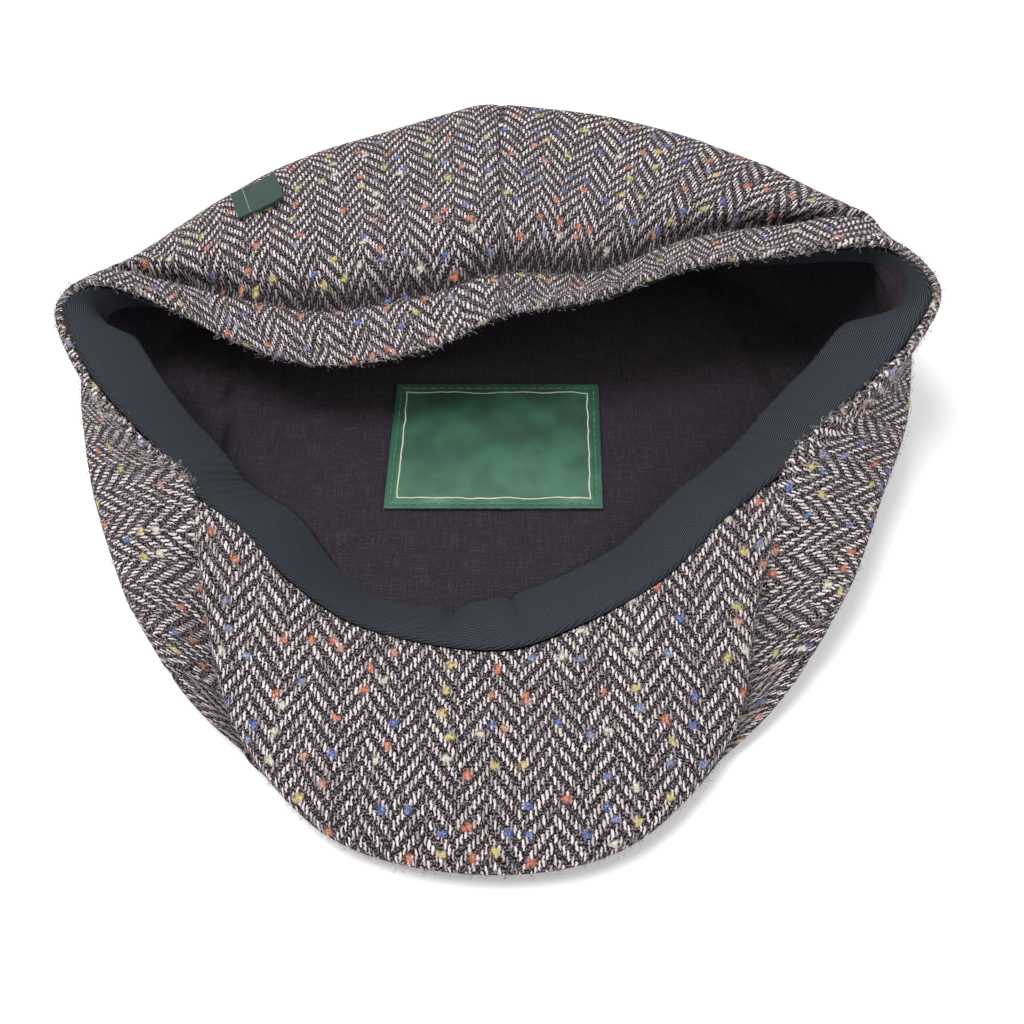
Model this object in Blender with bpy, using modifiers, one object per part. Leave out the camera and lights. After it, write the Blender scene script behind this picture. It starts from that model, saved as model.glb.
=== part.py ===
# Tweed driving cap lying upside down on its crown, the peak towards -Y.
# Metres, +Z up. The origin is on the floor under the middle of the cap.
import math
from collections import namedtuple

import bmesh
import bpy
from mathutils import Vector

# Driving dimensions
CROWN_WIDTH = 0.249  # across the crown's widest line; the rim's corners stand a little further out
CAP_LENGTH = 0.262  # the y shares' length: the peak's front and the crown's back keep 2% clear of it
RIM_HEIGHT = 0.058  # highest corner of the rim above the floor
TWEED_WALL = 0.0020
LINING_WALL = 0.0009
BAND_WALL = 0.0012
BAND_WIDTH = 0.0220
LABEL_WIDTH = 0.0648
LABEL_LENGTH = 0.0500
LABEL_WALL = 0.0007
TAB_LENGTH = 0.0155
TAB_WIDTH = 0.0136
TAB_WALL = 0.0012
TAB_CURL = 0.0016  # how far the tab's free end stands off the tweed
EDGE_TUCK = 0.0030  # the crown's front edge, inside the outline of the peak
PEAK_OVERLAP = 0.0020  # how far the peak's ends run out over the rim
GAP = 0.0003  # between pieces that touch or are sewn together
CREASE_RISE = 0.0130  # how steeply the back of the crown puffs up behind the crease
FOOT_SHARE = 0.55  # how far the crown curls in under its widest line, of that line's height
LABEL_AT = (0.0, 0.055)  # shares of the half width and half length
TAB_AT = (9.69, 1.73)  # section and ring
TAB_TURN = math.radians(20)  # from +X towards +Y, in the plane of the cloth
SLOPE_STEP = 0.02  # of a section or ring, for the slopes of the surface
HEM_STEP = 0.06  # of a section or ring: a narrow row there ends each panel square to its surface

HALF_WIDTH = CROWN_WIDTH / 2
HALF_LENGTH = CAP_LENGTH / 2
PEAK_WALL = 2 * TWEED_WALL + GAP

# One row for each section round the cap, from the front by the left to the back and the right.
# x is a share of the half width, y of the half length and z of the rim's height, on four lines:
# the edge (the peak's outline in front, the rim elsewhere), the crease under the hem, the top
# of the puffed crown and its widest line. tilt turns the sweatband down from level, in degrees.
Section = namedtuple("Section", "edge crease puff wide tilt")
SECTIONS = [
    Section((0.00, -0.979, 0.172), (0.00, -0.945, 0.045), (0.00, -0.935, 0.030), (0.00, -0.920, 0.017), 19),
    Section((-0.30, -0.915, 0.172), (-0.27, -0.88, 0.045), (-0.265, -0.87, 0.03), (-0.26, -0.86, 0.017), 23),
    Section((-0.505, -0.722, 0.172), (-0.515, -0.70, 0.09), (-0.54, -0.695, 0.11), (-0.56, -0.69, 0.10), 30),
    Section((-0.592, -0.523, 0.28), (-0.63, -0.50, 0.235), (-0.69, -0.49, 0.30), (-0.75, -0.485, 0.23), 36),
    Section((-0.65, -0.235, 0.48), (-0.70, -0.24, 0.47), (-0.80, -0.23, 0.42), (-0.90, -0.215, 0.28), 38),
    Section((-0.78, -0.145, 0.60), (-0.815, -0.115, 0.53), (-0.90, -0.06, 0.47), (-0.968, -0.01, 0.32), 38),
    Section((-0.92, -0.015, 0.74), (-0.925, 0.02, 0.62), (-0.955, 0.07, 0.52), (-0.99, 0.10, 0.36), 36),
    Section((-1.02, 0.17, 0.79), (-1.006, 0.21, 0.68), (-0.99, 0.24, 0.56), (-0.995, 0.25, 0.40), 40),
    Section((-0.965, 0.28, 0.785), (-0.967, 0.365, 0.68), (-0.965, 0.40, 0.60), (-0.965, 0.44, 0.42), 56),
    Section((-0.795, 0.25, 0.71), (-0.82, 0.37, 0.63), (-0.82, 0.49, 0.68), (-0.86, 0.59, 0.43), 135),
    Section((-0.59, 0.155, 0.60), (-0.61, 0.313, 0.64), (-0.585, 0.65, 0.78), (-0.65, 0.78, 0.44), 175),
    Section((-0.39, 0.105, 0.57), (-0.405, 0.277, 0.655), (-0.375, 0.75, 0.82), (-0.42, 0.875, 0.45), 180),
    Section((-0.148, 0.125, 0.655), (-0.158, 0.32, 0.69), (-0.13, 0.845, 0.87), (-0.16, 0.950, 0.45), 175),
    Section((0.016, 0.168, 0.79), (0.014, 0.36, 0.76), (0.013, 0.885, 0.88), (0.03, 0.972, 0.45), 150),
    Section((0.24, 0.186, 0.88), (0.253, 0.374, 0.725), (0.32, 0.81, 0.90), (0.355, 0.91, 0.465), 142),
    Section((0.45, 0.25, 0.95), (0.48, 0.43, 0.81), (0.58, 0.68, 0.93), (0.63, 0.78, 0.48), 140),
    Section((0.667, 0.274, 0.98), (0.708, 0.45, 0.84), (0.785, 0.55, 0.895), (0.83, 0.63, 0.48), 135),
    Section((0.92, 0.295, 1.00), (0.91, 0.43, 0.86), (0.94, 0.46, 0.77), (0.95, 0.45, 0.48), 92),
    Section((1.015, 0.165, 0.965), (0.97, 0.175, 0.75), (0.97, 0.19, 0.60), (0.995, 0.19, 0.47), 55),
    Section((0.955, 0.045, 0.88), (0.925, 0.035, 0.66), (0.955, 0.07, 0.57), (0.99, 0.11, 0.45), 27),
    Section((0.83, -0.062, 0.74), (0.84, -0.065, 0.60), (0.90, -0.04, 0.52), (0.965, -0.02, 0.38), 27),
    Section((0.645, -0.185, 0.55), (0.70, -0.20, 0.51), (0.80, -0.19, 0.45), (0.89, -0.178, 0.345), 28),
    Section((0.561, -0.47, 0.31), (0.62, -0.455, 0.25), (0.68, -0.45, 0.32), (0.75, -0.448, 0.26), 28),
    Section((0.495, -0.71, 0.172), (0.51, -0.685, 0.09), (0.535, -0.68, 0.11), (0.552, -0.68, 0.10), 26),
    Section((0.28, -0.922, 0.172), (0.265, -0.885, 0.045), (0.262, -0.875, 0.03), (0.26, -0.865, 0.017), 22),
]
COUNT = len(SECTIONS)
LEFT_ROOT, RIGHT_ROOT = 4, 21  # the sections where the peak meets the rim
LEFT_NOTCH, RIGHT_NOTCH = 2.38, 22.62  # the sections where the side panels end
BACK_SEAM = 13.0
FLOP_START, FLOP_END = 8.4, 17.2  # the sections between which the rim is folded over the opening
FLOP_SWEEP = 1.4  # sections in which the crease under the folded rim reaches its full depth
SEAM_RING = 3.35  # the seam of the side panels and the top panel, between the widest line and the floor

# The root of the peak from left to right, in the same shares.
ROOT = [
    (-0.603, -0.262, 0.475),
    (-0.553, -0.294, 0.41),
    (-0.435, -0.405, 0.31),
    (-0.268, -0.498, 0.235),
    (0.000, -0.542, 0.21),
    (0.178, -0.495, 0.235),
    (0.370, -0.400, 0.31),
    (0.520, -0.270, 0.42),
    (0.574, -0.232, 0.53),
]


def in_metres(shares):
    return Vector((shares[0] * HALF_WIDTH, shares[1] * HALF_LENGTH, shares[2] * RIM_HEIGHT))


def spline(before, start, end, after, t):
    # Catmull-Rom through start and end.
    return 0.5 * (
        2 * start
        + (end - before) * t
        + (2 * before - 5 * start + 4 * end - after) * t**2
        + (3 * start - before - 3 * end + after) * t**3
    )


def round_curve(points, at):
    i = math.floor(at)
    near = [points[(i + step) % len(points)] for step in (-1, 0, 1, 2)]
    return spline(*near, at - i)


def open_curve(points, at):
    i = max(0, min(math.floor(at), len(points) - 2))
    ends = [2 * points[0] - points[1], *points, 2 * points[-1] - points[-2]]
    return spline(*ends[i : i + 4], at - i)


def crown_rings():
    edge, crease, puff, wide, foot = [], [], [], [], []
    for number, section in enumerate(SECTIONS):
        rim = in_metres(section.edge)
        if number < LEFT_ROOT or number > RIGHT_ROOT:
            flat = Vector((rim.x, rim.y, 0))
            rim -= EDGE_TUCK * flat.normalized()
            rim.z -= PEAK_WALL + 2 * GAP + TWEED_WALL
        edge.append(rim)
        crease.append(in_metres(section.crease))
        puff.append(in_metres(section.puff))
        widest = in_metres(section.wide)
        wide.append(widest)
        level = Vector((widest.x, widest.y, 0))
        foot.append(level - FOOT_SHARE * widest.z * level.normalized())
    return edge, crease, puff, wide, foot


RINGS = crown_rings()
NOTCH_STEPS = (0.12, 0.20)
COLUMNS = {i / 2 for i in range(2 * COUNT + 1)}
COLUMNS |= {round(LEFT_NOTCH + step, 2) for step in NOTCH_STEPS}
COLUMNS |= {round(RIGHT_NOTCH - step, 2) for step in NOTCH_STEPS}
COLUMNS = sorted(COLUMNS)
SIDE_RINGS = [0.35, 0.7, 1.0, 1.3, 1.65, 2.0, 2.4, 2.75, 3.1]
FLOOR_RINGS = [3.6, 3.8, 4.0, 4.4, 5.0]
CREASE_RING = 1
LINING_RING = 0.35
LINING_FRONT = 4.4
LINING_SWEEP = 1.2  # sections in which the lining's edge runs from the rim down to its front line
LINING_DEPTH = TWEED_WALL + 4 * GAP
BAND_DEPTH = LINING_DEPTH + LINING_WALL + 4 * GAP
BAND_RING = 0.12
BAND_SPAN = 0.3  # sections each way from which the band takes its direction
FOOT_RING = len(RINGS) - 1
MIDDLE_RING = FOOT_RING + 1


def crease_rise(section):
    past = min(section - FLOP_START, FLOP_END - section) / FLOP_SWEEP
    share = min(1.0, max(0.0, past))
    return Vector((0, 0, CREASE_RISE * share * share * (3 - 2 * share)))


def crown_point(section, ring):
    # The outer face of the crown: ring 0 is the edge and MIDDLE_RING the middle of the floor.
    points = [round_curve(line, section) for line in RINGS]
    if ring >= FOOT_RING:
        return points[-1] * (MIDDLE_RING - ring)
    i = math.floor(ring)
    inward = -points[-1].normalized() * (points[-1] - points[-2]).length
    slopes = [points[1] - points[0]]
    slopes += [(after - before) / 2 for before, after in zip(points, points[2:])]
    slopes.append(inward)
    if i == CREASE_RING:
        slopes[i] = points[i + 1] - points[i] + crease_rise(section)
    elif i + 1 == CREASE_RING:
        slopes[i + 1] = slopes[i + 1].lerp(points[i + 1] - points[i], 0.6)
    t = ring - i
    return (
        (2 * t**3 - 3 * t**2 + 1) * points[i]
        + (t**3 - 2 * t**2 + t) * slopes[i]
        + (3 * t**2 - 2 * t**3) * points[i + 1]
        + (t**3 - t**2) * slopes[i + 1]
    )


def crown_normal(section, ring):
    if ring > FOOT_RING:
        return Vector((0, 0, -1))
    low, high = max(ring - SLOPE_STEP, 0), min(ring + SLOPE_STEP, FOOT_RING)
    along = crown_point(section + SLOPE_STEP, ring) - crown_point(section - SLOPE_STEP, ring)
    down = crown_point(section, high) - crown_point(section, low)
    return along.cross(down).normalized()


def inside_crown(section, ring, depth):
    return crown_point(section, ring) - depth * crown_normal(section, ring)


def seam_ring(section):
    # The seam rises to the edge at the two notches beside the peak.
    past = min(section - LEFT_NOTCH, RIGHT_NOTCH - section)
    if past <= 0:
        return 0.0
    return SEAM_RING * min(1.0, past) ** 0.5


def steps(low, high, count):
    return [low + (high - low) * i / count for i in range(count + 1)]


def with_hems(low, high, count, hem):
    # Even steps with a narrow one at each end, so that the wall ends square to the surface.
    return [low, *steps(low + hem, high - hem, count), high]


def new_object(name, mesh_maker, material):
    mesh = bpy.data.meshes.new(name)
    builder = bmesh.new()
    mesh_maker(builder)
    builder.to_mesh(mesh)
    builder.free()
    piece = bpy.data.objects.new(name, mesh)
    mesh.materials.append(material)
    mesh.shade_smooth()
    CAP.objects.link(piece)
    return piece


def cloth(name, across, down, shape, wall, material):
    # A sheet over a grid of parameters, thickened away from the side that its faces point to.
    def make(builder):
        bmesh.ops.create_grid(builder, x_segments=len(across) - 1, y_segments=len(down) - 1, size=1)
        for vert in builder.verts:
            column = round((vert.co.x + 1) / 2 * (len(across) - 1))
            row = round((vert.co.y + 1) / 2 * (len(down) - 1))
            vert.co = shape(across[column], down[row])
        bmesh.ops.remove_doubles(builder, verts=builder.verts, dist=0.000001)

    piece = new_object(name, make, material)
    thickness = piece.modifiers.new("wall", "SOLIDIFY")
    thickness.thickness = wall
    thickness.offset = -1
    return piece


def make_material(name, color, roughness):
    material = bpy.data.materials.new(name)
    material.use_nodes = True
    shader = material.node_tree.nodes["Principled BSDF"]
    shader.inputs["Base Color"].default_value = (*color, 1)
    shader.inputs["Roughness"].default_value = roughness
    shader.inputs["Metallic"].default_value = 0
    return material


def half_gap(section, ring):
    # Half of the gap at a seam, as a step from ring to ring.
    low, high = max(ring - SLOPE_STEP, 0), ring + SLOPE_STEP
    return GAP * 2 * SLOPE_STEP / (crown_point(section, high) - crown_point(section, low)).length


def make_panels(tweed):
    back_step = crown_point(BACK_SEAM + 0.5, 0) - crown_point(BACK_SEAM - 0.5, 0)
    seam_half = 0.75 * GAP / back_step.length

    def side(name, low, high):
        def shape(section, ring):
            seam = seam_ring(section)
            return crown_point(section, ring / SEAM_RING * (seam - half_gap(section, seam)))

        sections = [at for at in COLUMNS if low <= at <= high]
        if low > BACK_SEAM:
            sections = [low, low + HEM_STEP, *sections]
        else:
            sections = [*sections, high - HEM_STEP, high]
        rings = [0, HEM_STEP, *SIDE_RINGS, SEAM_RING - HEM_STEP, SEAM_RING]
        cloth(name, sections, rings, shape, TWEED_WALL, tweed)

    side("left_side_panel", LEFT_NOTCH + NOTCH_STEPS[0], BACK_SEAM - seam_half)
    side("right_side_panel", BACK_SEAM + seam_half, RIGHT_NOTCH - NOTCH_STEPS[0])

    def top(section, ring):
        if ring >= FOOT_RING:
            return crown_point(section, ring)
        low = seam_ring(section)
        if low:
            low += half_gap(section, low)
        share = (ring - SEAM_RING) / (FOOT_RING - SEAM_RING)
        return crown_point(section, low + share * (FOOT_RING - low))

    rings = [SEAM_RING, SEAM_RING + HEM_STEP, *FLOOR_RINGS]
    cloth("top_panel", COLUMNS, rings, top, TWEED_WALL, tweed)


def lining_start(section):
    # Level with the rim at the sides and back, and behind the root of the peak in front.
    past = min(section - LEFT_ROOT, RIGHT_ROOT - section)
    share = min(1.0, max(0.0, 1 + past / LINING_SWEEP))
    return LINING_FRONT + (LINING_RING - LINING_FRONT) * share


def make_lining(cotton):
    def shape(section, ring):
        start = lining_start(section)
        if ring >= FOOT_RING > start:
            return inside_crown(section, ring, LINING_DEPTH)
        end = FOOT_RING if start < FOOT_RING else MIDDLE_RING
        share = (ring - LINING_RING) / (end - LINING_RING)
        return inside_crown(section, start + share * (end - start), LINING_DEPTH)

    rings = [LINING_RING, *SIDE_RINGS[1:], *FLOOR_RINGS]
    cloth("lining", COLUMNS, rings, shape, LINING_WALL, cotton)


def peak_outline():
    order = [LEFT_ROOT - i for i in range(1, LEFT_ROOT)] + [0]
    order += [COUNT - i for i in range(1, COUNT - RIGHT_ROOT)]
    lip = [in_metres(SECTIONS[i].edge) for i in order]
    root = [in_metres(row) for row in ROOT]
    outward = Vector((0, -PEAK_OVERLAP, 0))
    return [root[0] + outward, *lip, root[-1] + outward], root


def make_peak(tweed):
    lip, root = peak_outline()

    def top_face(along, share):
        return open_curve(lip, along).lerp(open_curve(root, along), share)

    def face(depth):
        def shape(along, share):
            side = top_face(along + SLOPE_STEP, share) - top_face(along - SLOPE_STEP, share)
            back = top_face(along, 1) - top_face(along, 0)
            return top_face(along, share) - Vector((0, 0, depth / side.cross(back).normalized().z))

        return shape

    across = steps(0, len(root) - 1, 24)
    shares = with_hems(0, 1, 4, 0.03)
    cloth("peak_under_cover", across, shares, face(0), TWEED_WALL, tweed)
    cloth("peak_top_cover", across, shares, face(TWEED_WALL + GAP), TWEED_WALL, tweed)


def rim_point(section):
    # The opening's edge, where the sweatband is sewn: the rim and the root of the peak.
    after = (section - RIGHT_ROOT) % COUNT
    span = COUNT - RIGHT_ROOT + LEFT_ROOT
    if after < span:
        root = [in_metres(row) for row in ROOT]
        behind = Vector((0, 2 * GAP, 0))
        return open_curve(root, (1 - after / span) * (len(root) - 1)) + behind
    return inside_crown(section, BAND_RING, BAND_DEPTH)


def band_direction(section):
    ahead, behind = rim_point(section + BAND_SPAN), rim_point(section - BAND_SPAN)
    along = (ahead - behind).normalized()
    inward = Vector((0, 0, 1)).cross(-along).normalized()
    tilt = math.radians(round_curve([row.tilt for row in SECTIONS], section))
    return math.cos(tilt) * inward - math.sin(tilt) * Vector((0, 0, 1))


def make_sweatband(twill):
    def shape(section, share):
        return rim_point(section) + share * BAND_WIDTH * band_direction(section)

    cloth("sweatband", steps(0, COUNT, 3 * COUNT), steps(0, 1, 4), shape, BAND_WALL, twill)


def make_label(satin):
    def make(builder):
        bmesh.ops.create_cube(builder, size=1)
        bmesh.ops.scale(builder, vec=(LABEL_WIDTH, LABEL_LENGTH, LABEL_WALL), verts=builder.verts)

    label = new_object("label_patch", make, satin)
    top = LINING_DEPTH + LINING_WALL + GAP
    label.location = (LABEL_AT[0] * HALF_WIDTH, LABEL_AT[1] * HALF_LENGTH, top + LABEL_WALL / 2)


def make_tab(ribbon):
    at = crown_point(*TAB_AT)
    normal = crown_normal(*TAB_AT)
    along = Vector((math.cos(TAB_TURN), math.sin(TAB_TURN), 0))
    along = (along - along.dot(normal) * normal).normalized()
    across = normal.cross(along)

    def shape(length, width):
        lift = GAP + TAB_WALL + TAB_CURL * (length / TAB_LENGTH) ** 2
        return at + length * along + width * across + lift * normal

    lengths = steps(0, TAB_LENGTH, 5)
    widths = steps(-TAB_WIDTH / 2, TAB_WIDTH / 2, 3)
    cloth("side_tab", lengths, widths, shape, TAB_WALL, ribbon)


for old in list(bpy.data.objects):
    bpy.data.objects.remove(old)
CAP = bpy.data.collections.new("tweed_driving_cap")
bpy.context.scene.collection.children.link(CAP)
tweed = make_material("tweed", (0.26, 0.24, 0.23), 0.95)
make_panels(tweed)
make_peak(tweed)
make_lining(make_material("lining_cotton", (0.035, 0.030, 0.034), 0.9))
make_sweatband(make_material("band_twill", (0.018, 0.022, 0.030), 0.85))
make_label(make_material("label_satin", (0.012, 0.11, 0.06), 0.45))
make_tab(make_material("tab_ribbon", (0.008, 0.05, 0.035), 0.5))
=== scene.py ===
import math
import random
from collections import namedtuple
from functools import lru_cache

import bmesh
import bpy
from mathutils import Matrix, Vector, noise


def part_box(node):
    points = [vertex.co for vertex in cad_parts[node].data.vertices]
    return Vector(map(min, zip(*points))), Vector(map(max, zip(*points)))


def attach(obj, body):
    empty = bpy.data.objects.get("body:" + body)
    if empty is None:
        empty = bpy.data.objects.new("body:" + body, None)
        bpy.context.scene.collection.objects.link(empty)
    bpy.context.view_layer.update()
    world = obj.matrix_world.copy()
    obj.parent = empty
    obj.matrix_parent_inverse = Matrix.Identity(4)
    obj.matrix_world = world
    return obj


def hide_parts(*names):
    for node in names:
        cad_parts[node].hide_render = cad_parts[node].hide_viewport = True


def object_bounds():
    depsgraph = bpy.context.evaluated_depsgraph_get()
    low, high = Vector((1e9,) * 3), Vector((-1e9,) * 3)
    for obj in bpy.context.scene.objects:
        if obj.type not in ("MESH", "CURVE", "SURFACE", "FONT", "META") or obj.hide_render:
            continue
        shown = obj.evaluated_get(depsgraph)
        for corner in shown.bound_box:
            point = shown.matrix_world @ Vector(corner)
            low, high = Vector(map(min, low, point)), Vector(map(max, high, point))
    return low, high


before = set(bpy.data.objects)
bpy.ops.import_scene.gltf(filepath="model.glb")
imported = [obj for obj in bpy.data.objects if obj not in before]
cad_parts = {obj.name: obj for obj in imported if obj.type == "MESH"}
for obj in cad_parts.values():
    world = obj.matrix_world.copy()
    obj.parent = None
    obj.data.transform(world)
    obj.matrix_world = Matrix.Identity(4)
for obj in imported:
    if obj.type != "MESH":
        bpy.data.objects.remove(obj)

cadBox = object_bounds()
rng = random.Random(11)
up = Vector((0, 0, 1))

# The crown as it lies: one row for each section, from the front by the left to the back and the right.
# x, y and z are shares of the half width, the half length and the rim's height, on four lines: the edge,
# the crease under the hem, the top of the puff and the widest line. tilt turns the band down, in degrees.
Row = namedtuple("Row", "edge crease puff wide tilt")
crown = {
    "rows": [
        Row((0.0, -0.979, 0.172), (0.0, -0.945, 0.045), (0.0, -0.935, 0.03), (0.0, -0.92, 0.017), 19),
        Row((-0.3, -0.915, 0.172), (-0.27, -0.88, 0.045), (-0.265, -0.87, 0.03), (-0.26, -0.86, 0.017), 35),
        Row((-0.505, -0.722, 0.172), (-0.515, -0.7, 0.09), (-0.54, -0.695, 0.11), (-0.56, -0.69, 0.1), 41),
        Row((-0.592, -0.523, 0.28), (-0.63, -0.5, 0.235), (-0.69, -0.49, 0.3), (-0.75, -0.485, 0.23), 36),
        Row((-0.65, -0.235, 0.48), (-0.7, -0.24, 0.47), (-0.8, -0.23, 0.42), (-0.9, -0.215, 0.28), 38),
        Row((-0.78, -0.145, 0.6), (-0.815, -0.115, 0.53), (-0.9, -0.06, 0.47), (-0.968, -0.01, 0.32), 38),
        Row((-0.92, -0.015, 0.74), (-0.925, 0.02, 0.62), (-0.955, 0.07, 0.52), (-0.99, 0.1, 0.36), 36),
        Row((-1.02, 0.17, 0.79), (-1.006, 0.21, 0.68), (-0.99, 0.24, 0.56), (-0.995, 0.25, 0.4), 44),
        Row((-0.965, 0.28, 0.785), (-0.967, 0.365, 0.68), (-0.965, 0.4, 0.6), (-0.965, 0.44, 0.42), 84),
        Row((-0.795, 0.25, 0.71), (-0.82, 0.37, 0.63), (-0.82, 0.49, 0.68), (-0.86, 0.59, 0.43), 135),
        Row((-0.59, 0.155, 0.6), (-0.61, 0.313, 0.64), (-0.585, 0.65, 0.78), (-0.65, 0.78, 0.44), 175),
        Row((-0.39, 0.105, 0.57), (-0.405, 0.277, 0.655), (-0.375, 0.75, 0.82), (-0.42, 0.875, 0.45), 180),
        Row((-0.148, 0.125, 0.655), (-0.158, 0.32, 0.69), (-0.13, 0.845, 0.87), (-0.16, 0.95, 0.45), 175),
        Row((0.016, 0.168, 0.79), (0.014, 0.36, 0.76), (0.013, 0.885, 0.88), (0.03, 0.972, 0.45), 150),
        Row((0.24, 0.186, 0.88), (0.253, 0.374, 0.725), (0.32, 0.81, 0.9), (0.355, 0.91, 0.465), 142),
        Row((0.45, 0.25, 0.95), (0.48, 0.43, 0.81), (0.58, 0.68, 0.93), (0.63, 0.78, 0.48), 140),
        Row((0.667, 0.274, 0.98), (0.708, 0.45, 0.84), (0.785, 0.55, 0.895), (0.83, 0.63, 0.48), 135),
        Row((0.92, 0.295, 1.0), (0.91, 0.43, 0.86), (0.94, 0.46, 0.77), (0.95, 0.45, 0.48), 104),
        Row((1.015, 0.165, 0.965), (0.97, 0.175, 0.75), (0.97, 0.19, 0.6), (0.995, 0.19, 0.47), 55),
        Row((0.955, 0.045, 0.88), (0.925, 0.035, 0.66), (0.955, 0.07, 0.57), (0.99, 0.11, 0.45), 27),
        Row((0.83, -0.062, 0.74), (0.84, -0.065, 0.6), (0.9, -0.04, 0.52), (0.965, -0.02, 0.38), 27),
        Row((0.645, -0.185, 0.55), (0.7, -0.2, 0.51), (0.8, -0.19, 0.45), (0.89, -0.178, 0.345), 28),
        Row((0.561, -0.47, 0.31), (0.62, -0.455, 0.25), (0.68, -0.45, 0.32), (0.75, -0.448, 0.26), 28),
        Row((0.495, -0.71, 0.172), (0.51, -0.685, 0.09), (0.535, -0.68, 0.11), (0.552, -0.68, 0.1), 26),
        Row((0.28, -0.922, 0.172), (0.265, -0.885, 0.045), (0.262, -0.875, 0.03), (0.26, -0.865, 0.017), 22),
    ],
    "leftRoot": 4,  # the sections where the peak meets the rim
    "rightRoot": 21,
    "leftNotch": 2.5,  # the sections where the side panels end
    "rightNotch": 22.5,
    "backSeam": 13.0,
    "seamRing": 3.35,  # the seam of the side panels and the top panel
    "creaseRing": 1,
    "creaseRise": 0.0130,  # how steeply the back of the crown puffs up behind the crease
    "flop": (8.4, 17.2),  # the sections between which the rim is folded over the opening
    "flopSweep": 1.4,
    "footRing": 4,
    "middleRing": 5,
    "footShare": 0.55,
    "edgeTuck": 0.0030,
    "hemRoom": 0.0026,  # between the peak's thickness and the rim below it
    "creaseEase": 0.6,  # how far the slope into the crease turns towards the slope out of it
}
peak = {
    "root": [  # from left to right, in the same shares
        (-0.603, -0.262, 0.475),
        (-0.553, -0.294, 0.41),
        (-0.435, -0.405, 0.31),
        (-0.268, -0.498, 0.235),
        (0.000, -0.542, 0.21),
        (0.178, -0.495, 0.235),
        (0.370, -0.400, 0.31),
        (0.520, -0.270, 0.42),
        (0.574, -0.232, 0.53),
    ],
    "overlap": 0.0020,
    "thickness": 0.0043,
    "wall": 0.0012,
    "seamInset": 0.0023,  # the under cover's seam, inside the outline
    "seamDepth": 0.00035,
    "seamWidth": 0.0011,
    "swell": (0.0035, 0.002, 0.0005),  # of the cloth inside the seam: place, half width and height
    "soft": (26, 0.0005),  # scale and height of its unevenness
    "fine": (90, 0.00015),
    "cornerReach": (0.0055, 0.0070),  # how far the left and the right corner run out under the rim
    "cornerDrop": 0.0012,
    "cornerTuck": (0, 0.0042, -0.0010),  # how far the under cover runs on below the band at the corners
}
count = len(crown["rows"])
halfWidth = (cadBox[1].x - cadBox[0].x) / (
    max(row.edge[0] for row in crown["rows"]) - min(row.edge[0] for row in crown["rows"])
)
halfLength = cadBox[0].y / crown["rows"][0].edge[1]
rimHeight = cadBox[1].z


def inMetres(shares):
    return Vector((shares[0] * halfWidth, shares[1] * halfLength, shares[2] * rimHeight))


def spline(before, start, end, after, t):
    return 0.5 * (
        2 * start
        + (end - before) * t
        + (2 * before - 5 * start + 4 * end - after) * t**2
        + (3 * start - before - 3 * end + after) * t**3
    )


def roundCurve(points, at):
    i = math.floor(at)
    return spline(*[points[(i + step) % len(points)] for step in (-1, 0, 1, 2)], at - i)


def openCurve(points, at):
    i = max(0, min(math.floor(at), len(points) - 2))
    ends = [2 * points[0] - points[1], *points, 2 * points[-1] - points[-2]]
    return spline(*ends[i : i + 4], at - i)


def bump(value, centre, width):
    return math.exp(-(((value - centre) / width) ** 2))


def smooth(low, high, value):
    t = min(1.0, max(0.0, (value - low) / (high - low)))
    return t * t * (3 - 2 * t)


def steps(low, high, number):
    return [low + (high - low) * i / number for i in range(number + 1)]


def crownLines():
    lines = [[], [], [], [], []]
    for number, row in enumerate(crown["rows"]):
        rim = inMetres(row.edge)
        if number < crown["leftRoot"] or number > crown["rightRoot"]:
            rim -= crown["edgeTuck"] * Vector((rim.x, rim.y, 0)).normalized()
            rim.z -= peak["thickness"] + crown["hemRoom"]
        widest = inMetres(row.wide)
        level = Vector((widest.x, widest.y, 0))
        foot = level - crown["footShare"] * widest.z * level.normalized()
        for line, point in zip(lines, (rim, inMetres(row.crease), inMetres(row.puff), widest, foot)):
            line.append(point)
    return lines


lines = crownLines()


@lru_cache(maxsize=None)
def sectionShape(section):
    points = [roundCurve(line, section) for line in lines]
    inward = -points[-1].normalized() * (points[-1] - points[-2]).length
    leaving = [points[1] - points[0]]
    leaving += [(after - before) / 2 for before, after in zip(points, points[2:])]
    leaving.append(inward)
    reaching = list(leaving)
    crease = crown["creaseRing"]
    ahead = points[crease + 1] - points[crease]
    past = min(section - crown["flop"][0], crown["flop"][1] - section)
    leaving[crease] = ahead + crown["creaseRise"] * smooth(0, crown["flopSweep"], past) * up
    reaching[crease] = reaching[crease].lerp(ahead, crown["creaseEase"])
    return points, leaving, reaching


def crownPoint(section, ring):
    # The outer face of the crown: ring 0 is the edge and middleRing the middle of the floor.
    points, leaving, reaching = sectionShape(round(section, 4))
    if ring >= crown["footRing"]:
        return points[-1] * (crown["middleRing"] - ring)
    i = math.floor(ring)
    t = ring - i
    return (
        (2 * t**3 - 3 * t**2 + 1) * points[i]
        + (t**3 - 2 * t**2 + t) * leaving[i]
        + (3 * t**2 - 2 * t**3) * points[i + 1]
        + (t**3 - t**2) * reaching[i + 1]
    )


def crownNormal(section, ring):
    if ring > crown["footRing"]:
        return Vector((0, 0, -1))
    step = 0.02
    low, high = max(ring - step, 0), min(ring + step, crown["footRing"])
    along = crownPoint(section + step, ring) - crownPoint(section - step, ring)
    return along.cross(crownPoint(section, high) - crownPoint(section, low)).normalized()


def insideCrown(section, ring, depth):
    return crownPoint(section, ring) - depth * crownNormal(section, ring)


def seamRing(section):
    # The seam rises to the edge at the two notches beside the peak.
    past = min(section - crown["leftNotch"], crown["rightNotch"] - section)
    return crown["seamRing"] * min(1.0, max(0.0, past)) ** 0.3


print("form ready")


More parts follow.
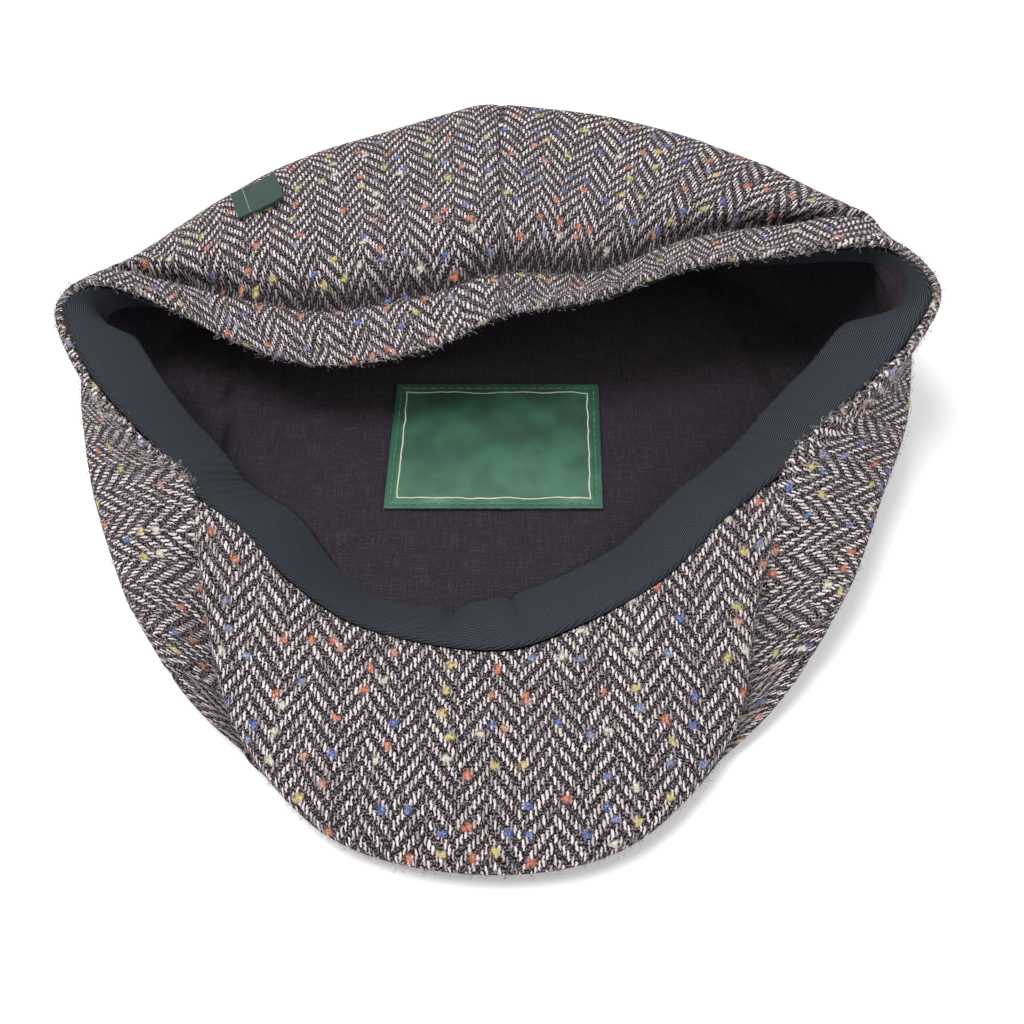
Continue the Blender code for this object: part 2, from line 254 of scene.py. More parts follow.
# Shader maths: a wire is a socket, and arithmetic on wires adds their Math nodes.
class Wire:
    def __init__(self, finish, socket):
        self.finish = finish
        self.socket = socket

    def output(self, key):
        return Wire(self.finish, self.socket.node.outputs[key])

    def math(self, operation, *others):
        return self.finish.math(operation, self, *others)

    def __add__(self, other):
        return self.math("ADD", other)

    __radd__ = __add__

    def __mul__(self, other):
        return self.math("MULTIPLY", other)

    __rmul__ = __mul__

    def __sub__(self, other):
        return self.math("SUBTRACT", other)

    def __rsub__(self, other):
        return self.finish.math("SUBTRACT", other, self)

    def __truediv__(self, other):
        return self.math("DIVIDE", other)

    def __mod__(self, other):
        return self.math("FLOORED_MODULO", other)

    def __lt__(self, other):
        return self.math("LESS_THAN", other)


class Finish:
    def __init__(self, name, roughness, sheen=0.0, specular=0.3):
        self.material = bpy.data.materials.new(name)
        self.material.use_nodes = True
        self.tree = self.material.node_tree
        self.shader = self.tree.nodes["Principled BSDF"]
        self.shader.inputs["Roughness"].default_value = roughness
        self.shader.inputs["Sheen Weight"].default_value = sheen
        self.shader.inputs["Sheen Roughness"].default_value = 0.5
        self.shader.inputs["Specular IOR Level"].default_value = specular

    def node(self, kind, settings, values, out=0):
        made = self.tree.nodes.new(kind)
        for key, value in settings.items():
            if key == "stops":
                self.setStops(made.color_ramp, value)
            else:
                setattr(made, key, value)
        for key, value in values.items():
            self.feed(made.inputs[key], value)
        return Wire(self, made.outputs[out])

    def setStops(self, ramp, stops):
        ramp.interpolation = "CONSTANT"
        while len(ramp.elements) < len(stops):
            ramp.elements.new(0.5)
        for element, (place, color) in zip(ramp.elements, stops):
            element.position = place
            element.color = (*color, 1)

    def feed(self, socket, value):
        if isinstance(value, Wire):
            self.tree.links.new(value.socket, socket)
        elif socket.type == "RGBA":
            socket.default_value = (*value, 1)
        else:
            socket.default_value = value

    def math(self, operation, *values):
        return self.node("ShaderNodeMath", {"operation": operation}, dict(enumerate(values)))

    def floor(self, value):
        return self.math("FLOOR", value)

    def fraction(self, value):
        return self.math("FRACT", value)

    def rise(self, low, high, value):
        settings = {"interpolation_type": "SMOOTHSTEP"}
        return self.node("ShaderNodeMapRange", settings, {"Value": value, "From Min": low, "From Max": high})

    def mix(self, share, first, second, blend="MIX"):
        settings = {"data_type": "RGBA", "blend_type": blend}
        return self.node("ShaderNodeMix", settings, {0: share, 6: first, 7: second}, 2)

    def together(self, x, y, z=0.0):
        return self.node("ShaderNodeCombineXYZ", {}, {0: x, 1: y, 2: z})

    def noise(self, vector, scale, detail=2.0, roughness=0.5):
        values = {"Vector": vector, "Scale": scale, "Detail": detail, "Roughness": roughness}
        return self.node("ShaderNodeTexNoise", {}, values)

    def dice(self, vector):
        return self.node("ShaderNodeTexWhiteNoise", {}, {"Vector": vector})

    def uv(self):
        source = self.node("ShaderNodeTexCoord", {}, {}, 2)
        split = self.node("ShaderNodeSeparateXYZ", {}, {0: source})
        return split, split.output(1), source

    # The painted shade stored in a piece's shade attribute, 0 where none is painted.
    def shade(self):
        return self.node("ShaderNodeAttribute", {"attribute_name": "shade"}, {}, 2)

    def relief(self, height, distance, strength=1.0):
        bumped = self.node(
            "ShaderNodeBump", {}, {"Height": height, "Distance": distance, "Strength": strength}
        )
        self.feed(self.shader.inputs["Normal"], bumped)

    def color(self, value):
        self.feed(self.shader.inputs["Base Color"], value)


tweed = {
    "sideWall": 0.0012,
    "topWall": 0.0018,
    "warpPitch": 0.000963,
    "pickPitch": 0.00122,
    "ends": 8,  # warp ends in each stripe of the herringbone
    "pale": (0.76, 0.675, 0.69),
    "dull": (0.37, 0.315, 0.33),  # the greyest dashes of warp
    "warm": (0.62, 0.53, 0.45),
    "dark": (0.0100, 0.0080, 0.0100),
    "grey": (0.31, 0.26, 0.275),  # loose fibres over the dark weft
    "neps": [  # coloured flecks of unspun wool
        (0.0, (0.045, 0.095, 0.33)),
        (0.22, (0.54, 0.135, 0.050)),
        (0.44, (0.57, 0.47, 0.14)),
        (0.62, (0.16, 0.21, 0.38)),
        (0.76, (0.68, 0.62, 0.50)),
        (0.90, (0.52, 0.24, 0.16)),
    ],
    "nepSpacing": 0.0071,
    "nepSize": 0.00125,
    "nepShare": 0.64,
}


def makeTweed():
    m = Finish("herringbone_tweed", 1.0, specular=0.08)
    across, along, vector = m.uv()
    wander = m.noise(vector, 95.0)
    shake = m.noise(vector, 850.0, 1.0)
    u = across / tweed["warpPitch"] + (wander - 0.5) * 1.3 + (shake - 0.5) * 0.9
    v = along / tweed["pickPitch"] - (wander - 0.5) * 1.5 - (shake - 0.5) * 0.8
    ends = tweed["ends"]
    stripe = m.floor(u / ends)
    odd = stripe % 2.0
    place = u - stripe * ends
    step = place + odd * (ends - 2.0 * place)  # counts back in every other stripe
    end = m.floor(step)
    shift = odd * 2.0
    phase = (v + end + shift) % 4.0
    warpUp = phase < 2.0
    weftPhase = (m.floor(v) + step + shift) % 4.0
    dash = m.dice(m.together(m.floor(u), m.floor((v + end + shift) / 4.0), 3.0))
    warpAcross = m.fraction(u) * 2.0 - 1.0
    warpAlong = phase - 1.0
    weftAcross = m.fraction(v) * 2.0 - 1.0
    weftAlong = weftPhase - 3.0
    narrow = 1.5 + dash * 0.9
    warpHeight = 1.0 - warpAcross * warpAcross * narrow - warpAlong * warpAlong * 0.62
    weftHeight = 1.0 - weftAcross * weftAcross * 0.9 - weftAlong * weftAlong * 0.5
    fibre = m.noise(m.together(across * 1.25, along, 0.0), 1700.0, 2.0, 0.75)
    yarn = warpUp * m.math("MAXIMUM", warpHeight, 0.0) + (1.0 - warpUp) * weftHeight * 0.55
    pale = m.mix(m.rise(0.45, 1.0, dash), tweed["pale"], tweed["dull"])
    pale = m.mix(m.rise(0.45, 0.8, wander) * 0.5, pale, tweed["warm"])
    pale = m.mix(m.rise(0.48, 0.34, fibre) * 0.6, pale, tweed["grey"])
    dark = m.mix(m.rise(0.515, 0.61, fibre) * 0.9, tweed["dark"], tweed["grey"])
    shown = warpUp * m.rise(0.0, 0.45, warpHeight + (fibre - 0.5) * 2.2 + (wander - 0.5) * 0.8)
    cloth = m.mix(shown, dark, pale)
    # Painted shade: where a piece's shade attribute is set, the colour is darkened towards the dark weft, as
    # in the crease under the folded rim.
    cloth = m.mix(m.shade() * 0.8, cloth, tweed["dark"])
    values = {"Vector": vector, "Scale": 1 / tweed["nepSpacing"]}
    cell = m.node("ShaderNodeTexVoronoi", {"voronoi_dimensions": "2D"}, values)
    split = m.node("ShaderNodeSeparateColor", {}, {0: cell.output("Color")})
    chosen = split.output(1)
    size = tweed["nepSize"] / tweed["nepSpacing"]
    ragged = cell + (fibre - 0.5) * size * 2.2 + (shake - 0.5) * size * 2.4
    inNep = m.rise(size * 1.1, size * 0.55, ragged) * (split < tweed["nepShare"])
    nepColor = m.node("ShaderNodeValToRGB", {"stops": tweed["neps"]}, {0: chosen})
    nepColor = m.mix(m.rise(0.42, 0.72, fibre) * 0.55, nepColor, tweed["pale"])
    nepColor = m.mix(m.rise(0.46, 0.30, fibre) * 0.6, nepColor, tweed["dark"])
    m.color(m.mix(inNep * 0.86, cloth, nepColor))
    m.relief(yarn + inNep * 0.8 + fibre * 0.7, 0.00045)
    return m.material


lining = {
    "threadPitch": 0.00045,
    "color": (0.0062, 0.0050, 0.0066),
    "pale": (0.092, 0.076, 0.094),
    # the colour of the painted shade along the seam
    "inShade": (0.0035, 0.0025, 0.0030),
    "wall": 0.0006,
    "depth": 0.0032,
    "topRing": 0.35,
    "frontRing": 4.4,
    "sweep": 1.2,
}


def makeLiningCotton():
    m = Finish("lining_cotton_weave", 0.9, specular=0.12)
    across, along, vector = m.uv()
    u = across / lining["threadPitch"]
    v = along / lining["threadPitch"]
    over = (m.floor(u) + m.floor(v)) % 2.0
    a = m.fraction(u) * 2.0 - 1.0
    b = m.fraction(v) * 2.0 - 1.0
    thread = over * (1.0 - a * a) + (1.0 - over) * (1.0 - b * b)
    slubAcross = m.noise(m.together(across * 22.0, along), 120.0, 2.0)
    slubAlong = m.noise(m.together(across, along * 22.0), 120.0, 2.0)
    slub = m.rise(0.50, 0.75, slubAcross) + m.rise(0.50, 0.75, slubAlong)
    dust = m.rise(0.52, 0.75, m.noise(vector, 2100.0, 2.0))
    cloth = m.mix(thread * 0.26 + slub * 0.20 + dust * 0.40, lining["color"], lining["pale"])
    # Painted shade: the lining is darkened along its seam through the shade attribute.
    cloth = m.mix(m.shade() * 0.8, cloth, lining["inShade"])
    m.color(cloth)
    m.relief(thread + slub * 0.7, 0.00012, 0.7)
    return m.material


band = {
    "ribPitch": 0.00068,
    "ribLean": 0.24,  # radians from the band's length
    "twistPitch": 0.00045,
    "color": (0.0026, 0.0034, 0.0050),
    "pale": (0.080, 0.090, 0.114),
    "wall": 0.0007,
    "width": 0.0220,
    "narrow": [(8.7, 1.1, 0.66), (17.0, 0.9, 0.66)],  # section, half width and share where it is drawn in
    "depth": 0.0031,
    "edgeRing": 0.10,
    "span": 0.3,
    "blend": 0.7,  # sections each way over which the edge is smoothed beside the peak
    "cornerOut": 0.0034,  # how far the edge runs out over the peak's corners
    "belly": 0.0007,  # heights of its unevenness
    "ripple": 0.0008,
    "roll": 0.0004,
}


def makeBandTwill():
    m = Finish("band_twill_weave", 0.8, specular=0.2)
    along, across, vector = m.uv()
    lean = band["ribLean"]
    rib = (across * math.cos(lean) + along * math.sin(lean)) / band["ribPitch"]
    rib = rib + (m.noise(vector, 160.0) - 0.5) * 0.8
    a = m.fraction(rib) * 2.0 - 1.0
    ridge = 1.0 - a * a
    twist = m.math("SINE", (along / band["twistPitch"] + m.floor(rib) * 2.1) * (2 * math.pi)) * 0.5 + 0.5
    speck = m.noise(vector, 2400.0, 2.0)
    inside = m.rise(0.0003, 0.0016, across)  # the sewn edge is smoother than the rest
    thread = ridge * ridge * ridge * (0.6 + twist * 0.4) * (0.35 + inside * 0.65)
    cloth = m.mix(thread * 0.95 + m.rise(0.5, 0.8, speck) * 0.2, band["color"], band["pale"])
    m.color(cloth)
    m.relief(thread + speck * 0.2, 0.00022)
    return m.material


label = {
    "wall": 0.0006,
    "lean": -0.019,  # how far the top runs to the left, of the height
    "aside": 0.0004,
    "lower": 0.0007,
    "color": (0.0035, 0.0310, 0.0160),
    "pale": (0.058, 0.178, 0.104),
    "cream": (0.52, 0.51, 0.42),
    "hemColor": (0.006, 0.070, 0.040),
    "thread": (0.060, 0.25, 0.155),
    "threadRadius": 0.00016,
    "ribPitch": 0.00038,
    "borderInset": 0.0036,
    "borderWidth": 0.00038,
    "hem": 0.0030,
    "stitch": 0.0021,
    "stitchPitch": 0.0029,
    "stitchInset": 0.0016,
}


def makeLabelSatin():
    m = Finish("label_green_satin", 0.42, sheen=0.15, specular=0.5)
    across, along, vector = m.uv()
    rib = (across * 0.82 + along * 0.57) / label["ribPitch"]
    a = m.fraction(rib) * 2.0 - 1.0
    ridge = 1.0 - a * a
    speck = m.noise(vector, 2600.0, 3.0, 0.7)
    # Painted sheen: cloudy patches lighten and darken the satin's colour; the same patches also lower its
    # roughness, a real change of gloss.
    cloud = m.noise(vector, 70.0, 2.0)
    sheen = m.rise(0.36, 0.68, cloud)
    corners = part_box("label_patch")
    halfX, halfY = (corners[1].x - corners[0].x) / 2, (corners[1].y - corners[0].y) / 2
    wave = (m.noise(vector, 150.0, 2.0) - 0.5) * 0.0014
    sideX = halfX - m.math("ABSOLUTE", across)
    sideY = halfY - m.math("ABSOLUTE", along)
    inset = m.math("MINIMUM", sideX, sideY) + wave
    line = m.math("ABSOLUTE", inset - label["borderInset"])
    border = m.rise(label["borderWidth"] * 0.65, label["borderWidth"] * 0.4, line)
    inHem = m.rise(label["hem"] * 0.92, label["hem"] * 0.80, inset)
    # Painted sheen: the satin is painted lighter towards its bottom edge and darker towards its top.
    low = m.rise(0.6, -1.1, along / halfY)
    # The share mixes weave and specks with the painted sheen of the patches and of the lower part.
    share = ridge * 0.20 + m.rise(0.4, 0.8, speck) * 0.30 + (sheen - 0.35) * 0.38 + low * 0.43
    cloth = m.mix(share, label["color"], label["pale"])
    cloth = m.mix(inHem * 0.45, cloth, label["hemColor"])
    cloth = m.mix(border, cloth, label["cream"])
    m.color(cloth)
    m.feed(m.shader.inputs["Roughness"], 0.5 - sheen * 0.14 + border * 0.3)
    m.relief(ridge * 0.4 + speck * 0.5 + border * 0.9, 0.00012, 0.8)
    return m.material


tab = {
    "at": (9.69, 1.73),  # section and ring
    "turn": 20.0,  # degrees from +X towards +Y, in the plane of the cloth
    "length": 0.0155,
    "width": 0.0136,
    "wall": 0.0006,
    "curl": 0.0016,
    "color": (0.0040, 0.0260, 0.0200),
    "pale": (0.018, 0.066, 0.052),
    "grain": (0.00032, 0.00040),  # pitch of its threads, along and across
    "thread": (0.42, 0.47, 0.38),
    "threadRadius": 0.00011,
    "stitchAt": 0.0042,
    "stitchPitch": 0.0017,
}


def makeTabRibbon():
    m = Finish("tab_green_ribbon", 0.5, sheen=0.1, specular=0.4)
    across, along, vector = m.uv()
    a = m.fraction(across / tab["grain"][0]) * 2.0 - 1.0
    b = m.fraction(along / tab["grain"][1]) * 2.0 - 1.0
    grain = (1.0 - a * a) * 0.5 + (1.0 - b * b) * 0.5
    speck = m.noise(vector, 2600.0, 2.0)
    m.color(m.mix(grain * 0.3 + m.rise(0.45, 0.75, speck) * 0.35, tab["color"], tab["pale"]))
    m.relief(grain + speck * 0.4, 0.00010, 0.7)
    return m.material


def makeThread(name, color):
    m = Finish(name, 0.6, sheen=0.2)
    position = m.node("ShaderNodeTexCoord", {}, {}, 3)
    ply = m.noise(position, 1800.0, 2.0)
    darker = tuple(0.55 * part for part in color)
    m.color(m.mix(m.rise(0.35, 0.65, ply), darker, color))
    m.relief(ply, 0.0001, 0.6)
    return m.material


tweedCloth = makeTweed()
liningCotton = makeLiningCotton()
bandTwill = makeBandTwill()
labelSatin = makeLabelSatin()
tabRibbon = makeTabRibbon()
print("finishes ready")


def addPiece(name, mesh, material, nodes=()):
    mesh.materials.append(material)
    mesh.shade_smooth()
    piece = bpy.data.objects.new(name, mesh)
    bpy.context.scene.collection.objects.link(piece)
    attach(piece, "root")
    if nodes:
        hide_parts(*nodes)
    return piece


def flatCut(sheet, uvLayer):
    # The width, length and area of the cloth as it was cut.
    faces = [[loop[uvLayer].uv.copy() for loop in face.loops] for face in sheet.faces]
    area = sum(abs(sum(a.cross(b) for a, b in zip(face, face[1:] + face[:1]))) / 2 for face in faces)
    us, vs = zip(*[corner for face in faces for corner in face])
    return (max(us) - min(us), max(vs) - min(vs)), area


def clothSheet(name, across, down, shape, flat, wall, material, nodes, shade=None):
    # A sheet over a grid of parameters, thickened away from the side that its faces point to.
    mesh = bpy.data.meshes.new(name)
    sheet = bmesh.new()
    bmesh.ops.create_grid(sheet, x_segments=len(across) - 1, y_segments=len(down) - 1, size=1)
    uvLayer = sheet.loops.layers.uv.new("weave")
    # shade holds painted shade: how far each point's colour is darkened.
    shadeLayer = sheet.verts.layers.float.new("shade")
    places = {}
    for vert in sheet.verts:
        column = round((vert.co.x + 1) / 2 * (len(across) - 1))
        row = round((vert.co.y + 1) / 2 * (len(down) - 1))
        places[vert] = (across[column], down[row])
    for face in sheet.faces:
        for loop in face.loops:
            loop[uvLayer].uv = flat(*places[loop.vert])
    size, area = flatCut(sheet, uvLayer)
    for vert, place in places.items():
        vert.co = shape(*place)
        if shade:
            vert[shadeLayer] = shade(*place)
    bmesh.ops.remove_doubles(sheet, verts=sheet.verts, dist=0.00001)
    sheet.to_mesh(mesh)
    sheet.free()
    piece = addPiece(name, mesh, material, nodes)
    thickness = piece.modifiers.new("wall", "SOLIDIFY")
    thickness.thickness = wall
    thickness.offset = -1
    return piece


# The cloth's flat cut: each side panel is a strip with the warp across it.
cut = {
    "middle": 1.6,  # the ring along which the strip keeps its length
    "end": 10.5,  # sections from the back seam to the front end
    "lean": 0.26,  # how far the folded back pulls the warp aside
    "leanAt": 0.36,  # of the strip's length
    "leanWidth": 0.28,
}


@lru_cache(maxsize=None)
def cutLengths():
    lengths = {0: [0.0], 1: [0.0]}
    for side, sign in ((0, -1), (1, 1)):
        last = crownPoint(crown["backSeam"], cut["middle"])
        for i in range(1, 8 * 12 + 1):
            point = crownPoint(crown["backSeam"] + sign * i / 8, cut["middle"])
            lengths[side].append(lengths[side][-1] + (point - last).length)
            last = point
    return lengths


@lru_cache(maxsize=None)
def ringLengths(section):
    lengths = [0.0]
    last = crownPoint(section, 0)
    for i in range(1, 81):
        point = crownPoint(section, i / 16)
        lengths.append(lengths[-1] + (point - last).length)
        last = point
    return lengths


def between(values, at):
    i = max(0, min(int(at), len(values) - 2))
    return values[i] + (values[i + 1] - values[i]) * (at - i)


def sideFlat(section, ring, beyond=0.0):
    side = 1 if section > crown["backSeam"] else 0
    away = abs(section - crown["backSeam"])
    lengths = cutLengths()[side]
    along = between(lengths, away * 8)
    total = between(lengths, cut["end"] * 8)
    rings = ringLengths(round(section, 4))
    out = between(rings, ring * 16) - between(rings, cut["middle"] * 16) - beyond
    aside = cut["lean"] * bump(along / total, cut["leanAt"], cut["leanWidth"])
    sign = 1 if side else -1
    return sign * (along - aside * out), out


def roundFlat(section, ring):
    # The floor as it is, with the wall laid out around it.
    if ring >= crown["footRing"]:
        point = crownPoint(section, ring)
        return point.x, point.y
    point = crownPoint(section, crown["footRing"])
    rings = ringLengths(round(section, 4))
    point += point.normalized() * (between(rings, crown["footRing"] * 16) - between(rings, ring * 16))
    return point.x, point.y


wrinkles = {
    "softSize": 28.0,
    "soft": 0.0007,
    "fineSize": 75.0,
    "fine": 0.00022,
    "crease": (1.0, 0.085, 0.0045),  # ring, half width in rings, depth
    "puff": (1.26, 0.15, -0.0022),
    "strip": (0.62, 0.24, -0.0012),
    "backSeam": 0.0005,
    "backSeamWidth": 0.0010,
    "backLength": 0.022,  # of one section at the back seam
    "shadeWidth": 0.07,  # of the painted shade that lies in the crease, in rings
}


def atBack(section):
    return smooth(7.8, 8.9, section) * smooth(17.9, 16.8, section)


def creaseDepth(section, ring):
    # The valley under the folded rim, between the strip and the puff that bulge beside it.
    share = atBack(section)
    if share == 0:
        return 0.0
    swells = [wrinkles[name] for name in ("crease", "puff", "strip")]
    return share * sum(depth * bump(ring, at, width) for at, width, depth in swells)


def crownWrinkle(section, ring, point):
    # How far the tweed stands off the plain form, outwards.
    soft = wrinkles["soft"] * noise.noise(point * wrinkles["softSize"])
    fine = wrinkles["fine"] * noise.noise(point * wrinkles["fineSize"] + Vector((5, 1, 3)))
    lift = smooth(0.0, 0.3, ring) * smooth(4.0, 3.4, ring)
    return (soft + fine) * lift - creaseDepth(section, ring)


hem = {
    "radius": 0.00135,
    "allowance": 0.0075,
    "turnSteps": 7,
}


def hemPoint(section, turn):
    # The folded edge: turn 0 is on the outer face, 1 on the inner, and 2 at the allowance's end.
    edge = crownPoint(section, 0)
    down = (crownPoint(section, 0.06) - edge).normalized()
    out = crownNormal(section, 0.03)
    radius = hem["radius"]
    centre = edge + (down - out) * radius
    if turn <= 1:
        angle = math.pi * turn
        return centre + radius * (math.cos(angle) * out - math.sin(angle) * down)
    return centre - radius * out + (turn - 1) * hem["allowance"] * down


def makeSidePanels():
    seam = crown["seamRing"]

    def onCrown(section, ring):
        slope = (crownPoint(section, 0.05) - crownPoint(section, 0)).length / 0.05
        start = min(hem["radius"] / max(0.001, slope), 0.2)
        return start + ring * (seamRing(section) - start) / seam

    # Painted shade: the crease under the folded rim at the back is darkened through the shade attribute.
    def shade(section, ring):
        if ring < 0:
            return 0.0
        return atBack(section) * bump(onCrown(section, ring), 1.0, wrinkles["shadeWidth"])

    def build(name, low, high, node):
        def shape(section, ring):
            if ring < 0:
                return hemPoint(section, -ring)
            ring = onCrown(section, ring)
            point = crownPoint(section, ring)
            normal = crownNormal(section, ring)
            back = abs(section - crown["backSeam"]) * wrinkles["backLength"]
            dip = wrinkles["backSeam"] * bump(back, 0, wrinkles["backSeamWidth"])
            return point + (crownWrinkle(section, ring, point) - dip) * normal

        def flat(section, ring):
            if ring < 0:
                past = hem["radius"] * math.pi * min(1, -ring) + hem["allowance"] * max(0, -ring - 1)
                return sideFlat(section, 0, past)
            return sideFlat(section, ring * seamRing(section) / seam)

        sections = steps(low, high, round((high - low) * 16))
        rings = [-2.0, -1.5] + [-1 + i / hem["turnSteps"] for i in range(hem["turnSteps"])]
        rings += steps(0, 0.8, 12) + steps(0.8, 1.5, 28)[1:] + steps(1.5, seam, 30)[1:]
        wall = tweed["sideWall"]
        clothSheet(name, sections, rings, shape, flat, wall, tweedCloth, [node], shade)

    build("left_side_tweed", crown["leftNotch"] + 0.02, crown["backSeam"], "left_side_panel")
    build("right_side_tweed", crown["backSeam"], crown["rightNotch"] - 0.02, "right_side_panel")


def makeTopPanel():
    seam, foot = crown["seamRing"], crown["footRing"]

    def ringAt(section, ring):
        if ring >= foot:
            return ring
        low = seamRing(section) + 0.012
        return low + (ring - seam) / (foot - seam) * (foot - low)

    def shape(section, ring):
        ring = ringAt(section, ring)
        point = crownPoint(section, ring)
        return point + min(0, crownWrinkle(section, ring, point)) * crownNormal(section, ring)

    def flat(section, ring):
        return roundFlat(section, ringAt(section, ring))

    rings = steps(seam, foot, 16) + steps(foot, crown["middleRing"], 12)[1:]
    sections = steps(0, count, count * 8)
    clothSheet(
        "top_tweed", sections, rings, shape, flat, tweed["topWall"], tweedCloth,
        ["top_panel"],
    )


makeSidePanels()
makeTopPanel()
print("crown ready")


def peakLines():
    order = [crown["leftRoot"] - i for i in range(1, crown["leftRoot"])] + [0]
    order += [count - i for i in range(1, count - crown["rightRoot"])]
    lip = [inMetres(crown["rows"][i].edge) for i in order]
    root = [inMetres(row) for row in peak["root"]]
    ahead = Vector((0, -peak["overlap"], 0))
    bandRoot = list(root)
    root[0] = root[0] + Vector((-peak["cornerReach"][0], 0, -peak["cornerDrop"]))
    root[-1] = root[-1] + Vector((peak["cornerReach"][1], 0, -peak["cornerDrop"]))
    return [root[0] + ahead, *lip, root[-1] + ahead], root, bandRoot


lipLine, rootLine, bandRoot = peakLines()


def peakFace(along, share):
    return openCurve(lipLine, along).lerp(openCurve(rootLine, along), share)


def peakFrame(along):
    # At the lip: its point, the way out over the edge and the way up from the cloth.
    step = 0.02
    side = (peakFace(along + step, 0) - peakFace(along - step, 0)).normalized()
    back = peakFace(along, 0.05) - peakFace(along, 0)
    above = side.cross(back).normalized()
    out = above.cross(side).normalized()
    lip = peakFace(along, 0)
    if out.dot(peakFace(along, 1) - lip) > 0:
        out = -out
    return lip, out, above


def makePeak():
    last = len(rootLine) - 1
    across = steps(0, last, 160)

    def underShape(along, inset):
        lip = peakFace(along, 0)
        span = (peakFace(along, 1) - lip).length
        start = peak["seamInset"]
        distance = min(inset, 1.0) * (span - start)
        point = peakFace(along, (start + distance) / span)
        tuck = max(0.0, inset - 1) * smooth(1.8, 0.6, min(along, last - along))
        point += tuck * Vector(peak["cornerTuck"])
        dip = peak["seamDepth"] * bump(distance, 0, peak["seamWidth"])
        at, width, height = peak["swell"]
        swell = height * bump(distance, at, width)
        soft = sum(depth * noise.noise(point * scale) for scale, depth in (peak["soft"], peak["fine"]))
        return point + (swell - dip + soft * smooth(0, 0.004, distance)) * up

    def underFlat(along, inset):
        point = underShape(along, inset)
        return point.x, point.y

    insets = [0, 0.006, 0.013, 0.02, 0.03, 0.04, 0.055] + steps(0.075, 1, 48) + [1.3, 1.6, 2.0]
    clothSheet(
        "peak_under_tweed", across, insets, underShape, underFlat, peak["wall"], tweedCloth,
        ["peak_under_cover"],
    )

    def rolled(along, place):
        # place runs from the seam over the edge (0 to 1) and back under the peak (1 to 2).
        lip, out, above = peakFrame(along)
        half = peak["thickness"] / 2
        centre = lip - out * half - above * half
        if place <= 1:
            angle = math.pi / 2 - math.pi * place
            inset = max(0.0, peak["seamInset"] - half) * (1 - place) ** 2
            soft = 1 + 0.05 * noise.noise(lip * 60)
            return centre - out * inset + half * soft * (math.cos(angle) * out + math.sin(angle) * above)
        share = place - 1
        start = centre - half * above
        end = peakFace(along, 1) - Vector((0, 0, peak["thickness"]))
        return start.lerp(end, share)

    def rolledFlat(along, place):
        point = rolled(along, place)
        lip, out, above = peakFrame(along)
        arc = peak["thickness"] / 2 * math.pi * min(1, place) - peak["seamInset"]
        if place <= 1:
            return (lip + out * arc).x, (lip + out * arc).y
        return point.x, point.y - 2 * arc

    places = steps(0, 1, 12) + steps(1, 2, 24)[1:]
    backwards = list(reversed(across))
    clothSheet(
        "peak_top_tweed", backwards, places, rolled, rolledFlat, peak["wall"], tweedCloth,
        ["peak_top_cover"],
    )


makePeak()
print("peak ready")


folds = {
    # middle of each fold in x and y, its half length and half width, its turn and its height
    "lining": [
        (-0.0530, 0.0195, 0.012, 0.0022, 0.35, 0.0012),
        (0.0800, 0.0540, 0.020, 0.0020, -1.38, 0.0016),
        (0.0915, 0.0340, 0.014, 0.0022, -1.25, -0.0016),
        (-0.0200, 0.0420, 0.020, 0.0040, 0.10, 0.0010),
        (0.0450, 0.0050, 0.022, 0.0030, 0.60, 0.0010),
        (0.0250, -0.0350, 0.016, 0.0030, 0.70, 0.0014),
        (-0.0450, -0.0250, 0.020, 0.0035, -0.60, 0.0010),
    ],
    "seam": (-0.0850, 0.0190, 0.027, 0.0009, -1.458),
    "seamDepth": 0.0008,
    "pleat": 0.0011,
    "soft": 0.0008,
    "fine": 0.0002,
}


def foldShare(point, x, y, length, width, turn):
    dx, dy = point.x - x, point.y - y
    along = dx * math.cos(turn) + dy * math.sin(turn)
    over = dy * math.cos(turn) - dx * math.sin(turn)
    return bump(along, 0, length) * bump(over, 0, width)


def foldHeight(point):
    return sum(height * foldShare(point, *place) for *place, height in folds["lining"])


def makeLining():
    foot, middle = crown["footRing"], crown["middleRing"]

    def start(section):
        past = min(section - crown["leftRoot"], crown["rightRoot"] - section)
        share = min(1.0, max(0.0, 1 + past / lining["sweep"]))
        return lining["frontRing"] + (lining["topRing"] - lining["frontRing"]) * share

    def ringAt(section, ring):
        begin, top = start(section), lining["topRing"]
        end = max(begin, foot)
        if ring <= foot:
            return begin + (ring - top) / (foot - top) * (end - begin)
        return end + (ring - foot) / (middle - foot) * (middle - end)

    def shape(section, ring):
        at = ringAt(section, ring)
        point = insideCrown(section, at, lining["depth"])
        inside = -crownNormal(section, at)
        soft = folds["soft"] * (0.5 + noise.noise(point * 32)) * smooth(0, 1, at)
        fine = folds["fine"] * noise.noise(point * 110)
        pleat = folds["pleat"] * bump(section, 6.1, 0.05) * smooth(0.3, 1.5, at) * smooth(4.4, 3.6, at)
        onFloor = smooth(3.2, 4.0, at)
        relief = foldHeight(point) * max(0.3, onFloor) + creaseDepth(section, at)
        relief -= folds["seamDepth"] * foldShare(point, *folds["seam"])
        return point + (soft + fine + pleat + relief) * inside

    # Painted shade along the seam line of the lining.
    def shade(section, ring):
        return foldShare(insideCrown(section, ringAt(section, ring), lining["depth"]), *folds["seam"])

    def flat(section, ring):
        return roundFlat(section, ringAt(section, ring))

    rings = steps(lining["topRing"], foot, 40) + steps(foot, middle, 36)[1:]
    sections = steps(0, count, count * 12)
    clothSheet(
        "lining_cloth", sections, rings, shape, flat, lining["wall"], liningCotton,
        ["lining"], shade,
    )


makeLining()
print("lining ready")


